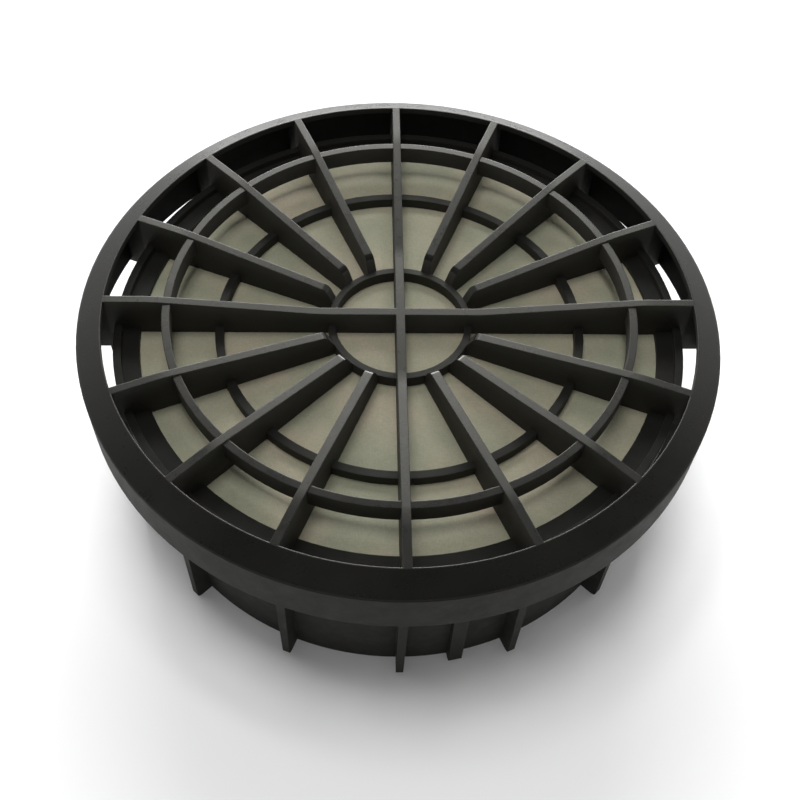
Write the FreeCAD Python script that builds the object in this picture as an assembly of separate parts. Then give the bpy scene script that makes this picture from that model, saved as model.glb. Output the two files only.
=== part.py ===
"""Round exhaust filter of a vacuum cleaner.

A moulded housing (spoked grille, sloping rim with a skirt, drafted cup with fins) holds a flat scrim
under the grille, a pleated paper pack below it, the adhesive round the pack and a soft seal in the mouth.
Millimetres. The origin is the centre of the foot that the filter stands on, and +Z points to the grille.
"""
import FreeCAD, Part
import math
import os

from FreeCAD import Vector

# Overall height, foot of the cup to the flush tops of rim and spokes
height = 61.5

# Cup: bore, a wall that thins towards the foot, a ledge over the scrim and a collar round the ledge
cup_bore_r = 74.3
cup_wall_top = 2.9
cup_wall_foot = 1.7
ledge_width = 2.8
ledge_thickness = 1.2
collar_overhang = 1.1
collar_wall = 2.1
collar_height = 1.8

# Rim: a lip outside the collar that slopes from a narrow land, rounds over and meets a straight skirt
rim_gap = 1.7
rim_land = 0.4
rim_wall = 1.8
lip_width = 6.4
lip_tilt = 26.0
lip_edge_tilt = 43.0
lip_round = 3.0
crease_depth = 0.35
skirt_height = 13.0

# Grille: spokes that dip towards the hub, crossed by a hub ring, a mid ring and an outer ring
spoke_count = 16
bar_interval = 4
grille_depth = 12.0
spoke_top_width = 2.2
spoke_root_width = 2.8
dish_drop = 4.4
dish_bend = 50.0
dish_margin = 2.3
hub_flat_margin = 2.6
shoulder_lean = 2.0
shoulder_round = 2.4
hub_ring_r = 18.0
hub_ring_width = 1.9
hub_ring_height = 3.5
mid_ring_r = 48.6
mid_ring_width = 2.3
mid_ring_height = 3.0
outer_ring_r = 62.1
outer_ring_width = 2.1
outer_ring_drop = 0.7
outer_ring_height = 5.4

# Fins that carry the spokes on down the cup, and one wider locating rib between two of them
fin_depth = 5.0
fin_tip_width = 2.0
fin_tip_round = 1.6
web_reach = 1.4
rib_angle = 281.25
rib_depth = 2.7
rib_top_width = 4.4
rib_foot_width = 3.7
rib_tip_round = 1.0

# Scrim, pleated pack, adhesive and seal inside the cup
scrim_thickness = 1.2
scrim_clearance = 0.15
paper_thickness = 0.6
pleat_pitch = 5.8
fold_flat = 0.9
potting_width = 2.4
potting_height = 9.0
potting_meniscus = 1.5
glue_line = 0.1
spacer_count = 5
spacer_width = 1.3
spacer_thickness = 0.7
seal_height = 4.2
seal_width = 3.4
seal_chamfer = 1.4
seal_recess = 0.6
seal_gap = 1.0

# Radii that follow from the sizes above, outwards
cup_top_r = cup_bore_r + cup_wall_top
cup_foot_r = cup_bore_r + cup_wall_foot
wall_middle_r = (cup_bore_r + cup_foot_r) / 2
collar_r = cup_top_r + collar_overhang
rim_bore_r = collar_r + rim_gap
crown_r = rim_bore_r + rim_land
skirt_r = crown_r + lip_width
skirt_bore_r = skirt_r - rim_wall
hub_outer_r = hub_ring_r + hub_ring_width
pack_r = cup_bore_r - potting_width

# The lip's slope, where its rounded shoulder starts, and where it ends in the crease
lip_slope = math.tan(math.radians(lip_tilt))
lip_way = Vector(math.sin(math.radians(lip_tilt)), 0, math.cos(math.radians(lip_tilt)))
edge_way = Vector(math.sin(math.radians(lip_edge_tilt)), 0, math.cos(math.radians(lip_edge_tilt)))
shoulder_r = skirt_r - lip_round * (edge_way.x - lip_way.x)
shoulder_drop = (shoulder_r - crown_r) * lip_slope
lip_drop = shoulder_drop + lip_round * (lip_way.z - edge_way.z)

# Depths below the rim's top, and levels above the foot
skirt_head_drop = lip_drop + 2 * crease_depth
skirt_foot_drop = skirt_head_drop + skirt_height
ledge_drop = grille_depth - ledge_thickness
hub_ring_drop = grille_depth - hub_ring_height
pack_top = height - grille_depth - scrim_thickness
pack_foot = seal_recess + seal_height + seal_gap + potting_meniscus

axis = Vector(0, 0, 1)
origin = Vector(0, 0, 0)


def section_point(r, drop):
    """Point of the XZ half-plane, at a radius and a depth below the rim's top."""
    return Vector(r, 0, height - drop)


def line(a, b):
    return Part.LineSegment(a, b).toShape()


def turn(centre, radius, start, end):
    """Arc about a centre of the section, between two angles above the horizontal."""
    def at(angle):
        way = math.radians(angle)
        return centre + Vector(math.cos(way), 0, math.sin(way)) * radius
    return Part.Arc(at(start), at((start + end) / 2), at(end)).toShape()


def rounded_path(points, radii):
    """Straight runs through the points, with a tangent arc of the given radius at each inner point."""
    edges = []
    start = points[0]
    for before, corner, after, radius in zip(points, points[1:], points[2:], radii):
        back = (before - corner).normalize()
        ahead = (after - corner).normalize()
        half_turn = (math.pi - back.getAngle(ahead)) / 2
        setback = radius * math.tan(half_turn)
        sagitta = radius / math.cos(half_turn) - radius
        arc_start = corner + back * setback
        arc_middle = corner + (back + ahead).normalize() * sagitta
        arc_end = corner + ahead * setback
        edges.append(line(start, arc_start))
        edges.append(Part.Arc(arc_start, arc_middle, arc_end).toShape())
        start = arc_end
    return edges + [line(start, points[-1])]


def closed(points):
    return Part.makePolygon(points + points[:1])


def revolve(edges):
    """Solid of revolution about Z from the closed outline of a section."""
    return Part.Face(Part.Wire(Part.__sortEdges__(edges))).revolve(origin, axis, 360)


def lip_underside(r):
    """Depth of the lip's underside, which runs level with its slope."""
    return rim_wall + (r - rim_bore_r) * lip_slope


def make_rim():
    """Sloping lip with a rounded shoulder, a crease below it and the straight skirt."""
    shoulder = section_point(shoulder_r, shoulder_drop)
    sides = Part.makePolygon([
        section_point(skirt_r, lip_drop),
        section_point(skirt_r - crease_depth, lip_drop + crease_depth),
        section_point(skirt_r, skirt_head_drop),
        section_point(skirt_r, skirt_foot_drop),
        section_point(skirt_bore_r, skirt_foot_drop),
        section_point(skirt_bore_r, lip_underside(skirt_bore_r)),
        section_point(rim_bore_r, lip_underside(rim_bore_r)),
        section_point(rim_bore_r, 0),
        section_point(crown_r, 0),
        shoulder,
    ])
    round_over = turn(shoulder - lip_way * lip_round, lip_round, 90 - lip_tilt, 90 - lip_edge_tilt)
    return revolve(sides.Edges + [round_over])


def make_cup():
    """Drafted wall with the ledge that holds the scrim down and the collar round it."""
    collar_bore_r = collar_r - collar_wall
    collar_drop = ledge_drop - collar_height
    return revolve(closed([
        section_point(cup_bore_r - ledge_width, grille_depth),
        section_point(cup_bore_r - ledge_width, ledge_drop),
        section_point(collar_bore_r, ledge_drop),
        section_point(collar_bore_r, collar_drop),
        section_point(collar_r, collar_drop),
        section_point(collar_r, grille_depth),
        section_point(cup_top_r, grille_depth + collar_overhang),
        section_point(cup_foot_r, height),
        section_point(cup_bore_r, height),
        section_point(cup_bore_r, grille_depth),
    ]).Edges)


def make_ring(inner_r, width, drop, ring_height):
    """Plain ring of the grille."""
    outer_r = inner_r + width
    foot = drop + ring_height
    return revolve(closed([
        section_point(inner_r, foot),
        section_point(inner_r, drop),
        section_point(outer_r, drop),
        section_point(outer_r, foot),
    ]).Edges)


def drafted_plate(outline, stations):
    """Radial plate with a side outline, as wide as the (drop, width) stations say."""
    thickest = max(width for _, width in stations)
    side = Part.Face(Part.Wire(Part.__sortEdges__(outline)))
    side.translate(Vector(0, -thickest, 0))
    slab = side.extrude(Vector(0, 2 * thickest, 0))
    right = [Vector(-skirt_r, width / 2, height - drop) for drop, width in stations]
    left = [Vector(-skirt_r, -width / 2, height - drop) for drop, width in reversed(stations)]
    wedge = Part.Face(closed(right + left)).extrude(Vector(2 * skirt_r, 0, 0))
    return slab.common(wedge)


def make_spoke(through):
    """One spoke with its web and fin. A through spoke runs on to the centre of the grille."""
    fin_r = cup_foot_r + fin_depth
    web_r = skirt_r - rim_wall / 2
    web_drop = skirt_foot_drop + web_reach
    rim_end = section_point(rim_bore_r + rim_land / 2, 0)
    dish_out = section_point(outer_ring_r + outer_ring_width + dish_margin, 0)
    if through:
        inner_end = section_point(0, dish_drop)
        root = section_point(0, grille_depth)
        dish_in = section_point(hub_outer_r + hub_flat_margin, dish_drop)
        top = rounded_path([rim_end, dish_out, dish_in, inner_end], [dish_bend, dish_bend])
    else:
        inner_end = section_point(hub_outer_r, hub_ring_drop)
        root = section_point(hub_ring_r + hub_ring_width / 2, grille_depth)
        shoulder = section_point(hub_outer_r + shoulder_lean, dish_drop)
        top = rounded_path([rim_end, dish_out, shoulder, inner_end], [dish_bend, shoulder_round])
    below = [
        inner_end,
        root,
        section_point(wall_middle_r, grille_depth),
        section_point(wall_middle_r, height),
        section_point(fin_r - fin_tip_round, height),
    ]
    tip_centre = section_point(fin_r - fin_tip_round, height - fin_tip_round)
    outside = [
        section_point(fin_r, height - fin_tip_round),
        section_point(fin_r, web_drop),
        section_point(web_r, web_drop),
        section_point(web_r, lip_underside(web_r) - rim_wall / 2),
        section_point(crown_r, rim_wall / 2),
        rim_end,
    ]
    outline = top + Part.makePolygon(below).Edges + [turn(tip_centre, fin_tip_round, -90, 0)]
    outline += Part.makePolygon(outside).Edges
    stations = [(0, spoke_top_width), (grille_depth, spoke_root_width), (height, fin_tip_width)]
    return drafted_plate(outline, stations)


def make_locating_rib():
    """Wider, shallower rib on the cup that sets which way round the filter goes in."""
    rib_r = cup_foot_r + rib_depth
    tip_centre = section_point(rib_r - rib_tip_round, height - rib_tip_round)
    sides = [
        section_point(rib_r, height - rib_tip_round),
        section_point(rib_r, skirt_foot_drop),
        section_point(wall_middle_r, skirt_foot_drop),
        section_point(wall_middle_r, height),
        section_point(rib_r - rib_tip_round, height),
    ]
    outline = Part.makePolygon(sides).Edges + [turn(tip_centre, rib_tip_round, -90, 0)]
    rib = drafted_plate(outline, [(skirt_foot_drop, rib_top_width), (height, rib_foot_width)])
    rib.rotate(origin, axis, rib_angle)
    return rib


def make_housing():
    """The one-piece moulding: rim, grille, cup, fins and locating rib."""
    pieces = [
        make_cup(),
        make_ring(hub_ring_r, hub_ring_width, hub_ring_drop, hub_ring_height),
        make_ring(mid_ring_r, mid_ring_width, grille_depth - mid_ring_height, mid_ring_height),
        make_ring(outer_ring_r, outer_ring_width, outer_ring_drop, outer_ring_height),
        make_locating_rib(),
    ]
    for index in range(spoke_count):
        spoke = make_spoke(through=index % bar_interval == 0)
        spoke.rotate(origin, axis, 360 / spoke_count * index)
        pieces.append(spoke)
    return make_rim().multiFuse(pieces).removeSplitter()


def make_scrim():
    """Flat non-woven sheet that lies against the underside of the spokes."""
    return Part.makeCylinder(cup_bore_r - scrim_clearance, scrim_thickness, Vector(0, 0, pack_top))


def fold_outline(side, folds):
    """Upper (1) or lower (-1) face of the folded paper in section: flat tips joined by slanting walls."""
    spacing = pleat_pitch / 2
    lean = math.atan2(spacing - fold_flat, pack_top - pack_foot - paper_thickness)
    corner_shift = paper_thickness / 2 * math.tan((math.pi / 2 - lean) / 2)
    points = []
    for k in range(folds + 1):
        up = 1 if k % 2 == 0 else -1
        level = pack_top - paper_thickness / 2 if up > 0 else pack_foot + paper_thickness / 2
        middle = (k - folds / 2) * spacing
        half = fold_flat / 2 + side * up * corner_shift
        z = level + side * paper_thickness / 2
        points.append(Vector(middle - half, -pack_r, z))
        points.append(Vector(middle + half, -pack_r, z))
    return points


def make_pleat_pack():
    """One long sheet of paper folded to and fro, trimmed round."""
    folds = 2 * int((pack_r - pleat_pitch / 4) / (pleat_pitch / 2))
    face = Part.Face(closed(fold_outline(1, folds) + fold_outline(-1, folds)[::-1]))
    trim = Part.makeCylinder(pack_r, pack_top - pack_foot, Vector(0, 0, pack_foot))
    return face.extrude(Vector(0, 2 * pack_r, 0)).common(trim)


def make_potting():
    """Adhesive that bonds the edge of the pack to the cup, with a sloping meniscus."""
    inner_r = pack_r + glue_line
    outer_r = cup_bore_r - glue_line
    foot = height - pack_foot
    head = foot - potting_height
    return revolve(closed([
        section_point(inner_r, foot),
        section_point(outer_r, foot + potting_meniscus),
        section_point(outer_r, head - potting_meniscus),
        section_point(inner_r, head),
    ]).Edges)


def make_spacers():
    """Thin lines of hot-melt across the folds that keep them apart."""
    lines = []
    for k in range(spacer_count):
        y = pack_r * (2 * (k + 1) / (spacer_count + 1) - 1)
        half = math.sqrt(pack_r ** 2 - y ** 2) - potting_width
        corner = Vector(-half, y - spacer_width / 2, pack_foot - spacer_thickness)
        lines.append(Part.makeBox(2 * half, spacer_width, spacer_thickness, corner))
    return Part.makeCompound(lines)


def make_seal():
    """Soft ring in the mouth of the cup, chamfered to lead the air outlet in."""
    outer_r = cup_bore_r - glue_line
    inner_r = outer_r - seal_width
    foot = height - seal_recess
    head = foot - seal_height
    return revolve(closed([
        section_point(outer_r, head),
        section_point(inner_r, head),
        section_point(inner_r, foot - seal_chamfer),
        section_point(inner_r + seal_chamfer, foot),
        section_point(outer_r, foot),
    ]).Edges)


nodes = {
    "housing": make_housing(),
    "outlet_scrim": make_scrim(),
    "pleat_pack": make_pleat_pack(),
    "potting_bead": make_potting(),
    "pleat_spacers": make_spacers(),
    "inlet_seal": make_seal(),
}

os.makedirs("parts", exist_ok=True)
for name, shape in nodes.items():
    shape.exportStep("parts/" + name + ".step")
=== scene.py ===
"""Looks of a round vacuum exhaust filter: black grille, olive felt, folded paper, hot-melt and seal."""

import math

import bmesh
import bpy
from mathutils import Matrix, Vector


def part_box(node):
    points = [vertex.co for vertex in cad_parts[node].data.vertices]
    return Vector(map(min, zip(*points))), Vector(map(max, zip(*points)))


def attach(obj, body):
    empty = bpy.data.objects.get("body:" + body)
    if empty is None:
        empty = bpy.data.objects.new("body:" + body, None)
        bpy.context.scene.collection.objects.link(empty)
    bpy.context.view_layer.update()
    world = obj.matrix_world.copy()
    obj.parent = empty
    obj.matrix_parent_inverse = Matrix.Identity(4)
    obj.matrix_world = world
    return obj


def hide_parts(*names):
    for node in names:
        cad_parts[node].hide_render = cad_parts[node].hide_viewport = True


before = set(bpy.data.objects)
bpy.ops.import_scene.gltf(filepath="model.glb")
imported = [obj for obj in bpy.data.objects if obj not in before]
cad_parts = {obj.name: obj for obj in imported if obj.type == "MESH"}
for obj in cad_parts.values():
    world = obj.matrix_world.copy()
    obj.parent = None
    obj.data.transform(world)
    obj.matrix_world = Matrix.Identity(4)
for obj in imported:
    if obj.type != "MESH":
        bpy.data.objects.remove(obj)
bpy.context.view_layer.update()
MM = 0.001

# Sizes of the grille that the felt is pressed against, in millimetres
GRILLE_FOOT = 49.5
RIM_BORE = 80.0
HUB_RING = (18.0, 19.9)
MID_RING = (48.6, 50.9)
LEDGE_BORE = 71.5
SPOKES = 16
THROUGH_BARS = 4
SPOKE_HALF = 1.4

# Felt: how far it swells in an opening, how far from the bars it does so, and the fineness of its mesh
FELT_SWELL = 0.55
FELT_SOFT = 5.0
FELT_RINGS = 72
FELT_TURNS = 288

# Hot-melt lines across the folds: how many, their width, how far they stop short of the pack's edge,
# and the spacing of the folds that they cross
BEADS = 5
PACK_R = 71.9
BEAD_WIDTH = 1.3
BEAD_STOP = 2.4
FOLD_PITCH = 5.8

# Form of one hot-melt line: sides of its section, length of a step, thinness and length of its ends,
# how much it swells at each fold, and how it wanders (reach, waves to the millimetre, shift per line)
BEAD_SIDES = 14
BEAD_STEP = 0.6
BEAD_THIN = 0.35
BEAD_TAPER = 1.8
BEAD_SWELL = 0.14
BEAD_WANDER = ((0.12, 0.21, 1), (0.05, 0.83, 2))

# Seal in the mouth: its width, the reach of its sloping lead-in, the rounding of its edges and its mesh
SEAL_WIDTH = 3.4
SEAL_LEAD = 1.4
SEAL_EDGE = 0.45
SEAL_EDGE_STEPS = 4
SEAL_TURNS = 192

# Polish of the moulding: heights between which upward faces go from matt to polished, where the polished
# tips of the spokes end, and the bounds of the upright inner walls that are painted lighter as painted light
# on their shade
POLISHED_FROM = (51.5, 56.6)
TIPS_END = (HUB_RING[1] + 3.5, HUB_RING[1] + 5.0)
INNER_WALLS_END = (RIM_BORE - 0.6, RIM_BORE + 0.2)
INNER_WALLS_FOOT = (GRILLE_FOOT - 1.0, GRILLE_FOOT)

# Camera of the photograph: turn, height and roll in degrees, place in metres and lens in millimetres
PHOTO_ANGLES = (-3.68, 54.11, 3.19)
PHOTO_PLACE = (-0.0111, -0.1915, 0.2809)
PHOTO_LENS = 48.23
PHOTO_SENSOR = 36.0

# Floor, in metres: half its width, and how far off it starts and ends to turn white
FLOOR_HALF = 6.0
FLOOR_WHITENS = (0.12, 0.42)

# Ranges of the patterns: masks that rise or fall, and where most of a cloudy pattern's values lie
RISE = (0.0, 1.0)
FALL = (1.0, 0.0)
CLOUDS = (0.3, 0.7)


# Nodes of the finishes

def add(tree, kind, inputs=(), **settings):
    """Node of a kind with its settings, and its inputs given as values or as sockets to link from."""
    made = tree.nodes.new(kind)
    for name, value in settings.items():
        setattr(made, name, value)
    for name, value in dict(inputs).items():
        if isinstance(value, bpy.types.NodeSocket):
            tree.links.new(value, made.inputs[name])
        else:
            made.inputs[name].default_value = value
    return made


def finish_of(name):
    """New material with its node tree, its main shader and the coordinates of the object."""
    material = bpy.data.materials.new(name)
    material.use_nodes = True
    tree = material.node_tree
    shader = tree.nodes["Principled BSDF"]
    coords = add(tree, "ShaderNodeTexCoord").outputs["Object"]
    return material, tree, shader, coords


def noise(tree, coords, cells, detail=3.0, roughness=0.55):
    """Cloudy pattern with so many cells to the metre."""
    settings = {"Vector": coords, "Scale": cells, "Detail": detail, "Roughness": roughness}
    return add(tree, "ShaderNodeTexNoise", settings).outputs["Fac"]


def stretched(tree, coords, scale):
    """Coordinates stretched by a scale for each axis, so that a pattern runs one way."""
    return add(tree, "ShaderNodeMapping", {"Vector": coords, "Scale": scale}).outputs["Vector"]


def tones(tree, pattern, stops):
    """Colours along a pattern, as (place, colour) stops."""
    ramp = add(tree, "ShaderNodeValToRGB", {"Fac": pattern})
    elements = ramp.color_ramp.elements
    while len(elements) < len(stops):
        elements.new(0.5)
    for element, (place, colour) in zip(elements, stops):
        element.position = place
        element.color = (*colour, 1.0)
    return ramp.outputs["Color"]


def spread(tree, pattern, to, over=CLOUDS):
    """Pattern brought to one range of values from another."""
    settings = {"Value": pattern, "From Min": over[0], "From Max": over[1], "To Min": to[0], "To Max": to[1]}
    return add(tree, "ShaderNodeMapRange", settings).outputs["Result"]


def times(tree, first, *others):
    """Product of patterns."""
    product = first
    for other in others:
        product = add(tree, "ShaderNodeMath", {0: product, 1: other}, operation="MULTIPLY").outputs[0]
    return product


def larger(tree, first, second):
    """Larger of two patterns."""
    return add(tree, "ShaderNodeMath", {0: first, 1: second}, operation="MAXIMUM").outputs[0]


def blend(tree, mask, first, second, **settings):
    """First value where a mask is 0, second value where it is 1."""
    return add(tree, "ShaderNodeMix", {"Factor": mask, "A": first, "B": second}, **settings).outputs["Result"]


def relief(tree, pattern, depth_mm, strength, normal=None):
    """Bump as deep as a pattern in millimetres."""
    settings = {"Height": pattern, "Distance": depth_mm * MM, "Strength": strength}
    if normal is not None:
        settings["Normal"] = normal
    return add(tree, "ShaderNodeBump", settings).outputs["Normal"]


def worn_edges(tree, radius_mm):
    """Normals eased over edges, and a mask that is 1 on an edge and 0 on a flat face."""
    eased = add(tree, "ShaderNodeBevel", {"Radius": radius_mm * MM}, samples=6).outputs["Normal"]
    true = add(tree, "ShaderNodeNewGeometry").outputs["Normal"]
    along = add(tree, "ShaderNodeVectorMath", {0: eased, 1: true}, operation="DOT_PRODUCT")
    return eased, spread(tree, along.outputs["Value"], FALL, (0.72, 0.99))


def put(shader, tree, **links):
    """Links finished patterns to the inputs of a shader."""
    names = {"colour": "Base Color", "roughness": "Roughness", "normal": "Normal"}
    for key, socket in links.items():
        tree.links.new(socket, shader.inputs[names[key]])


def metres(lengths):
    """Lengths in millimetres as metres."""
    return [length * MM for length in lengths]


# Finishes

def black_moulding():
    """Black plastic: matt walls, upright inner walls of the grille painted lighter as painted light on their
    shade, tops polished by handling, rubbed edges.
    """
    material, tree, shader, coords = finish_of("black_moulding")
    flow = noise(tree, stretched(tree, coords, (1.0, 1.0, 0.45)), cells=52.0, detail=4.0)
    grain = noise(tree, coords, cells=2400.0, detail=2.0)
    haze = noise(tree, coords, cells=210.0, detail=5.0, roughness=0.65)
    eased, edge = worn_edges(tree, 0.35)

    place = add(tree, "ShaderNodeSeparateXYZ", {"Vector": coords}).outputs
    facing = add(tree, "ShaderNodeSeparateXYZ", {"Vector": eased}).outputs["Z"]
    level_place = add(tree, "ShaderNodeCombineXYZ", {"X": place["X"], "Y": place["Y"]}).outputs["Vector"]
    reach = add(tree, "ShaderNodeVectorMath", {0: level_place}, operation="LENGTH").outputs["Value"]

    high = spread(tree, place["Z"], RISE, metres(POLISHED_FROM))
    polish = times(tree, high, spread(tree, facing, RISE, (0.35, 0.80)))
    tips = times(tree, high,
                 spread(tree, reach, FALL, metres(TIPS_END)),
                 spread(tree, facing, RISE, (0.45, 0.65)),
                 spread(tree, facing, FALL, (0.955, 0.985)))
    # Mask of the upright inner walls of the grille, where painted light is laid over their shade
    inner_walls = times(tree,
                        spread(tree, reach, FALL, metres(INNER_WALLS_END)),
                        spread(tree, place["Z"], RISE, metres(INNER_WALLS_FOOT)),
                        spread(tree, facing, FALL, (0.25, 0.70)))

    body = tones(tree, flow, [(0.30, (0.0090, 0.0089, 0.0082)), (0.72, (0.0130, 0.0128, 0.0118))])
    # Upright inner walls get a lighter colour than the body: painted light that lifts their shade, mottled by
    # the haze pattern
    painted_light_walls = tones(tree, haze, [(0.30, (0.0370, 0.0358, 0.0310)), (0.72, (0.0490, 0.0474, 0.0410))])
    rubbed = tones(tree, haze, [(0.35, (0.0160, 0.0157, 0.0146)), (0.75, (0.0340, 0.0330, 0.0300))])
    faces = blend(tree, inner_walls, body, painted_light_walls, data_type="RGBA")
    matt = spread(tree, haze, (0.62, 0.76))
    polished = spread(tree, haze, (0.24, 0.35))
    smooth_tip = 0.14
    put(shader, tree,
        colour=blend(tree, edge, faces, rubbed, data_type="RGBA"),
        roughness=blend(tree, tips, blend(tree, polish, matt, polished), smooth_tip),
        normal=relief(tree, grain, depth_mm=0.035, strength=0.35, normal=eased))
    shader.inputs["Specular IOR Level"].default_value = 0.26
    shader.inputs["Specular Tint"].default_value = (1.0, 0.985, 0.89, 1.0)
    return material


def olive_felt():
    """Pressed non-woven felt: matted fibres, soft cloudy patches, no shine."""
    material, tree, shader, coords = finish_of("olive_felt")
    patches = noise(tree, coords, cells=44.0)
    fibres = [noise(tree, stretched(tree, coords, way), cells=2600.0, detail=4.0, roughness=0.7)
              for way in ((0.25, 1.0, 1.0), (1.0, 0.25, 1.0))]
    matted = larger(tree, *fibres)
    ground = tones(tree, patches, [(0.36, (0.262, 0.267, 0.192)),
                                   (0.50, (0.303, 0.292, 0.211)),
                                   (0.65, (0.360, 0.322, 0.238))])
    flecks = tones(tree, matted, [(0.42, (0.78, 0.78, 0.78)), (0.75, (1.0, 1.0, 1.0))])
    put(shader, tree,
        colour=blend(tree, 1.0, ground, flecks, data_type="RGBA", blend_type="MULTIPLY"),
        roughness=spread(tree, matted, (0.95, 0.82)),
        normal=relief(tree, matted, depth_mm=0.09, strength=0.5))
    shader.inputs["Sheen Weight"].default_value = 0.08
    shader.inputs["Sheen Roughness"].default_value = 0.6
    return material


def folded_paper():
    """Off-white filter paper with fine fibres and a faint grey bloom."""
    material, tree, shader, coords = finish_of("folded_paper")
    bloom = noise(tree, coords, cells=34.0, detail=4.0)
    fibres = noise(tree, stretched(tree, coords, (1.0, 0.3, 1.0)), cells=1900.0, detail=4.0, roughness=0.7)
    put(shader, tree,
        colour=tones(tree, bloom, [(0.32, (0.60, 0.585, 0.535)), (0.70, (0.74, 0.725, 0.67))]),
        roughness=spread(tree, fibres, (0.80, 0.95)),
        normal=relief(tree, fibres, depth_mm=0.06, strength=0.4))
    return material


def hot_melt():
    """Cream adhesive, slightly glossy, uneven where it has run."""
    material, tree, shader, coords = finish_of("hot_melt")
    run = noise(tree, coords, cells=160.0)
    bubbles = noise(tree, coords, cells=900.0, detail=2.0)
    put(shader, tree,
        colour=tones(tree, run, [(0.30, (0.50, 0.455, 0.345)), (0.72, (0.63, 0.585, 0.47))]),
        roughness=spread(tree, bubbles, (0.28, 0.46)),
        normal=relief(tree, run, depth_mm=0.35, strength=0.5))
    return material


def seal_rubber():
    """Soft dark rubber with a dusty skin and paler edges."""
    material, tree, shader, coords = finish_of("seal_rubber")
    dust = noise(tree, coords, cells=75.0, detail=5.0, roughness=0.65)
    skin = noise(tree, coords, cells=1500.0)
    eased, edge = worn_edges(tree, 0.4)
    body = tones(tree, dust, [(0.30, (0.022, 0.022, 0.023)), (0.75, (0.040, 0.039, 0.038))])
    pale_edge = (0.07, 0.068, 0.065, 1.0)
    put(shader, tree,
        colour=blend(tree, edge, body, pale_edge, data_type="RGBA"),
        roughness=spread(tree, dust, (0.62, 0.80)),
        normal=relief(tree, skin, depth_mm=0.04, strength=0.5, normal=eased))
    return material


# Pieces

def piece(name, shape, material):
    """Object at the origin from a finished bmesh, smooth where its faces meet gently."""
    mesh = bpy.data.meshes.new(name)
    shape.to_mesh(mesh)
    shape.free()
    mesh.materials.append(material)
    mesh.shade_smooth()
    mesh.set_sharp_from_angle(angle=math.radians(40))
    made = bpy.data.objects.new(name, mesh)
    bpy.context.scene.collection.objects.link(made)
    return made


def full_turn(shape, steps):
    """Turns all there is of a shape once about Z, and closes the seam and the pole."""
    bmesh.ops.spin(shape, geom=shape.verts[:] + shape.edges[:], cent=(0, 0, 0), axis=(0, 0, 1),
                   angle=2 * math.pi, steps=steps, use_merge=True)
    bmesh.ops.remove_doubles(shape, verts=shape.verts, dist=1e-6)


def ease(t):
    """Smooth step from 0 to 1."""
    t = min(max(t, 0.0), 1.0)
    return t * t * (3 - 2 * t)


def felt_rise(x, y):
    """Height in millimetres that the felt swells to, between the spokes and rings that hold it down."""
    r = math.hypot(x, y)
    bars = THROUGH_BARS if r < HUB_RING[0] else SPOKES
    sector = 2 * math.pi / bars
    off = abs((math.atan2(y, x) + sector / 2) % sector - sector / 2)
    from_spoke = r * math.sin(min(off, math.pi / 2)) - SPOKE_HALF
    gaps = [from_spoke, LEDGE_BORE - r]
    gaps += [max(low - r, r - high) for low, high in (HUB_RING, MID_RING)]
    rise = FELT_SWELL
    for gap in gaps:
        rise *= ease(gap / FELT_SOFT)
    return rise


def felt_sheet(material):
    """Felt disc under the grille that swells a little in each opening of the grille."""
    low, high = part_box("outlet_scrim")
    shape = bmesh.new()
    radius = shape.edges.new([shape.verts.new((r, 0, high.z)) for r in (0.0, high.x)])
    bmesh.ops.subdivide_edges(shape, edges=[radius], cuts=FELT_RINGS - 1)
    full_turn(shape, FELT_TURNS)
    for vert in shape.verts:
        vert.co.z += MM * felt_rise(vert.co.x / MM, vert.co.y / MM)
    bmesh.ops.recalc_face_normals(shape, faces=shape.faces)
    if sum(face.normal.z for face in shape.faces) < 0:
        bmesh.ops.reverse_faces(shape, faces=shape.faces)
    lower = bmesh.ops.extrude_face_region(shape, geom=shape.faces[:], use_keep_orig=True)
    foot = [item for item in lower["geom"] if isinstance(item, bmesh.types.BMVert)]
    bmesh.ops.translate(shape, verts=foot, vec=(0, 0, low.z - high.z))
    bmesh.ops.recalc_face_normals(shape, faces=shape.faces)
    return piece("felt_sheet", shape, material)


def one_bead(k, top, depth):
    """One hot-melt line: a flat-topped rod along X, thin at its ends, that swells at the folds."""
    y = PACK_R * (2 * (k + 1) / (BEADS + 1) - 1)
    half = math.sqrt(PACK_R ** 2 - y ** 2) - BEAD_STOP
    steps = int(half / BEAD_STEP)
    bead = bmesh.new()
    bmesh.ops.create_circle(bead, segments=BEAD_SIDES, radius=1.0,
                            matrix=Matrix.Rotation(math.pi / 2, 4, "Y"))
    bmesh.ops.translate(bead, verts=bead.verts, vec=(-half, 0, 0))
    bmesh.ops.spin(bead, geom=bead.verts[:] + bead.edges[:], dvec=(2 * half / steps, 0, 0), angle=0,
                   axis=(0, 0, 1), cent=(0, 0, 0), steps=steps)
    bmesh.ops.holes_fill(bead, edges=bead.edges)
    for vert in bead.verts:
        x, across, down = vert.co
        full = BEAD_THIN + (1 - BEAD_THIN) * ease((half - abs(x)) / BEAD_TAPER)
        fold = math.cos(2 * math.pi * x / FOLD_PITCH)
        swell = full * (1 - BEAD_SWELL + BEAD_SWELL * fold)
        wander = sum(far * math.sin(waves * x + shift * k) for far, waves, shift in BEAD_WANDER)
        vert.co.y = y + wander + BEAD_WIDTH / 2 * swell * across
        vert.co.z = top + depth * swell * min(down, 0.0)
    bmesh.ops.scale(bead, verts=bead.verts, vec=(MM, MM, MM))
    bmesh.ops.recalc_face_normals(bead, faces=bead.faces)
    return bead


def hot_melt_lines(material):
    """Rounded, slightly uneven beads of hot-melt that lie across the tips of the folds."""
    low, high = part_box("pleat_spacers")
    whole = bmesh.new()
    for k in range(BEADS):
        bead = one_bead(k, high.z / MM, (high.z - low.z) / MM)
        part = bpy.data.meshes.new("bead")
        bead.to_mesh(part)
        bead.free()
        whole.from_mesh(part)
        bpy.data.meshes.remove(part)
    return piece("hot_melt_lines", whole, material)


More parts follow.
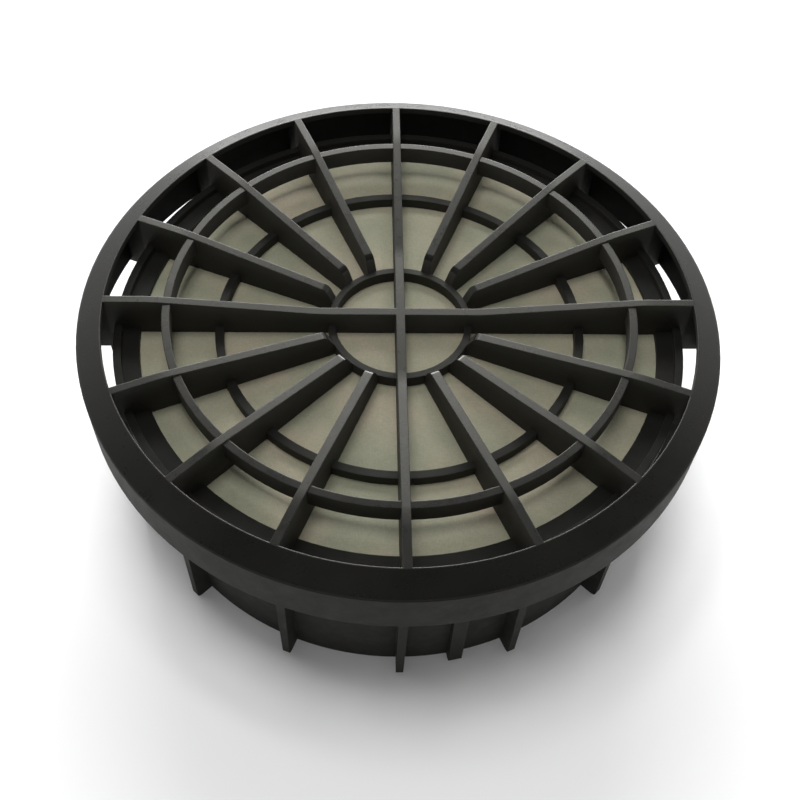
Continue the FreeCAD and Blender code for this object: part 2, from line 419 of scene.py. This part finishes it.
def seal_ring(material):
    """Soft ring in the mouth of the cup, with rounded edges and a sloping lead-in."""
    low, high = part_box("inlet_seal")
    outer, inner = high.x, high.x - SEAL_WIDTH * MM
    lead = SEAL_LEAD * MM
    corners = [(outer, low.z), (outer, high.z), (inner, high.z),
               (inner, low.z + lead), (inner + lead, low.z)]
    shape = bmesh.new()
    section = shape.faces.new([shape.verts.new((r, 0, z)) for r, z in corners])
    bmesh.ops.bevel(shape, geom=section.verts[:], affect="VERTICES", offset=SEAL_EDGE * MM,
                    segments=SEAL_EDGE_STEPS, profile=0.5, material=-1)
    bmesh.ops.delete(shape, geom=shape.faces[:], context="FACES_ONLY")
    full_turn(shape, SEAL_TURNS)
    bmesh.ops.recalc_face_normals(shape, faces=shape.faces)
    return piece("seal_ring", shape, material)


# Light, floor and camera

def softbox(name, place, aim, size, power, mirrored=True):
    """Soft lamp of a width and height that looks at a point, and shows in glossy surfaces or not."""
    lamp = bpy.data.lights.new(name, "AREA")
    lamp.shape = "RECTANGLE"
    lamp.size, lamp.size_y = size
    lamp.energy = power
    made = bpy.data.objects.new(name, lamp)
    made.location = place
    made.rotation_euler = (Vector(aim) - Vector(place)).to_track_quat("-Z", "Y").to_euler()
    made.visible_camera = False
    made.visible_glossy = mirrored
    bpy.context.scene.collection.objects.link(made)


def seen_directly(tree):
    """1 for rays from the camera, in a reflection or through a clear surface."""
    path = add(tree, "ShaderNodeLightPath").outputs
    seen = larger(tree, path["Is Camera Ray"], path["Is Glossy Ray"])
    return larger(tree, seen, path["Is Transmission Ray"])


def white_floor():
    """Pale floor that keeps a soft shadow near the part, shows white far off and is clear from below."""
    shape = bmesh.new()
    bmesh.ops.create_grid(shape, x_segments=2, y_segments=2, size=FLOOR_HALF)
    material = bpy.data.materials.new("white_floor")
    material.use_nodes = True
    tree = material.node_tree
    tree.nodes.remove(tree.nodes["Principled BSDF"])
    matt = add(tree, "ShaderNodeBsdfDiffuse", {"Color": (0.94, 0.94, 0.94, 1.0)})
    white = add(tree, "ShaderNodeEmission", {"Color": (1.0, 1.0, 1.0, 1.0), "Strength": 1.0})
    clear = add(tree, "ShaderNodeBsdfTransparent")
    place = add(tree, "ShaderNodeTexCoord").outputs["Object"]
    far_off = add(tree, "ShaderNodeVectorMath", {0: place}, operation="LENGTH").outputs["Value"]
    whiteness = spread(tree, far_off, (0.06, 1.0), FLOOR_WHITENS)
    share = times(tree, seen_directly(tree), whiteness)
    both = add(tree, "ShaderNodeMixShader", {0: share, 1: matt.outputs[0], 2: white.outputs[0]})
    below = add(tree, "ShaderNodeNewGeometry").outputs["Backfacing"]
    shown = add(tree, "ShaderNodeMixShader", {0: below, 1: both.outputs[0], 2: clear.outputs[0]})
    tree.links.new(shown.outputs[0], tree.nodes["Material Output"].inputs["Surface"])
    piece("floor", shape, material)


def studio_world():
    """Room with a bright horizon and a bright back, and a dim ceiling and front."""
    world = bpy.data.worlds.new("studio")
    world.use_nodes = True
    tree = world.node_tree
    way = add(tree, "ShaderNodeTexCoord").outputs["Generated"]
    apart = add(tree, "ShaderNodeSeparateXYZ", {"Vector": way}).outputs
    ceiling = spread(tree, apart["Z"], RISE, (0.74, 0.90))
    front = times(tree, spread(tree, apart["Z"], RISE, (0.10, 0.50)),
                  spread(tree, apart["Y"], FALL, (0.05, 0.45)))
    light = tones(tree, larger(tree, ceiling, front),
                  [(0.0, (1.0, 1.0, 1.0)), (1.0, (0.06, 0.06, 0.06))])
    tree.links.new(light, tree.nodes["Background"].inputs["Color"])
    bpy.context.scene.world = world


def photo_camera():
    """Camera at the photograph's place, turned and tilted as it was."""
    turn, height, roll = (math.radians(angle) for angle in PHOTO_ANGLES)
    back = Vector((math.sin(turn) * math.cos(height), -math.cos(turn) * math.cos(height), math.sin(height)))
    level = Vector((math.cos(turn), math.sin(turn), 0.0))
    rise = back.cross(level)
    right = level * math.cos(roll) + rise * math.sin(roll)
    up = rise * math.cos(roll) - level * math.sin(roll)
    lens = bpy.data.cameras.new("photo_camera")
    lens.sensor_width = PHOTO_SENSOR
    lens.lens = PHOTO_LENS
    lens.clip_start = 0.01
    camera = bpy.data.objects.new("photo_camera", lens)
    turned = Matrix((right, up, back)).transposed().to_4x4()
    camera.matrix_world = Matrix.Translation(PHOTO_PLACE) @ turned
    bpy.context.scene.collection.objects.link(camera)
    bpy.context.scene.camera = camera


# The part, its stage and its light

def dress(node, material):
    """Finish of a node that keeps its own shape."""
    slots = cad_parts[node].data.materials
    slots.clear()
    slots.append(material)


dress("housing", black_moulding())
dress("pleat_pack", folded_paper())
adhesive = hot_melt()
dress("potting_bead", adhesive)

felt = felt_sheet(olive_felt())
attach(felt, "root")
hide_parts("outlet_scrim")

beads = hot_melt_lines(adhesive)
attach(beads, "root")
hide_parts("pleat_spacers")

seal = seal_ring(seal_rubber())
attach(seal, "root")
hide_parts("inlet_seal")

white_floor()
studio_world()
softbox("back_softbox", place=(0.0, 0.90, 0.84), aim=(0, 0, 0.05), size=(0.8, 0.36), power=5.2)
softbox("low_back_strip", place=(0.0, 1.10, 0.30), aim=(0, 0, 0.06), size=(0.9, 0.5), power=16.0)
softbox("ceiling_softbox", place=(-0.10, 0.06, 1.15), aim=(0, 0, 0.05), size=(0.5, 0.5), power=8.2,
        mirrored=False)
photo_camera()
bpy.context.scene.view_settings.view_transform = "Standard"
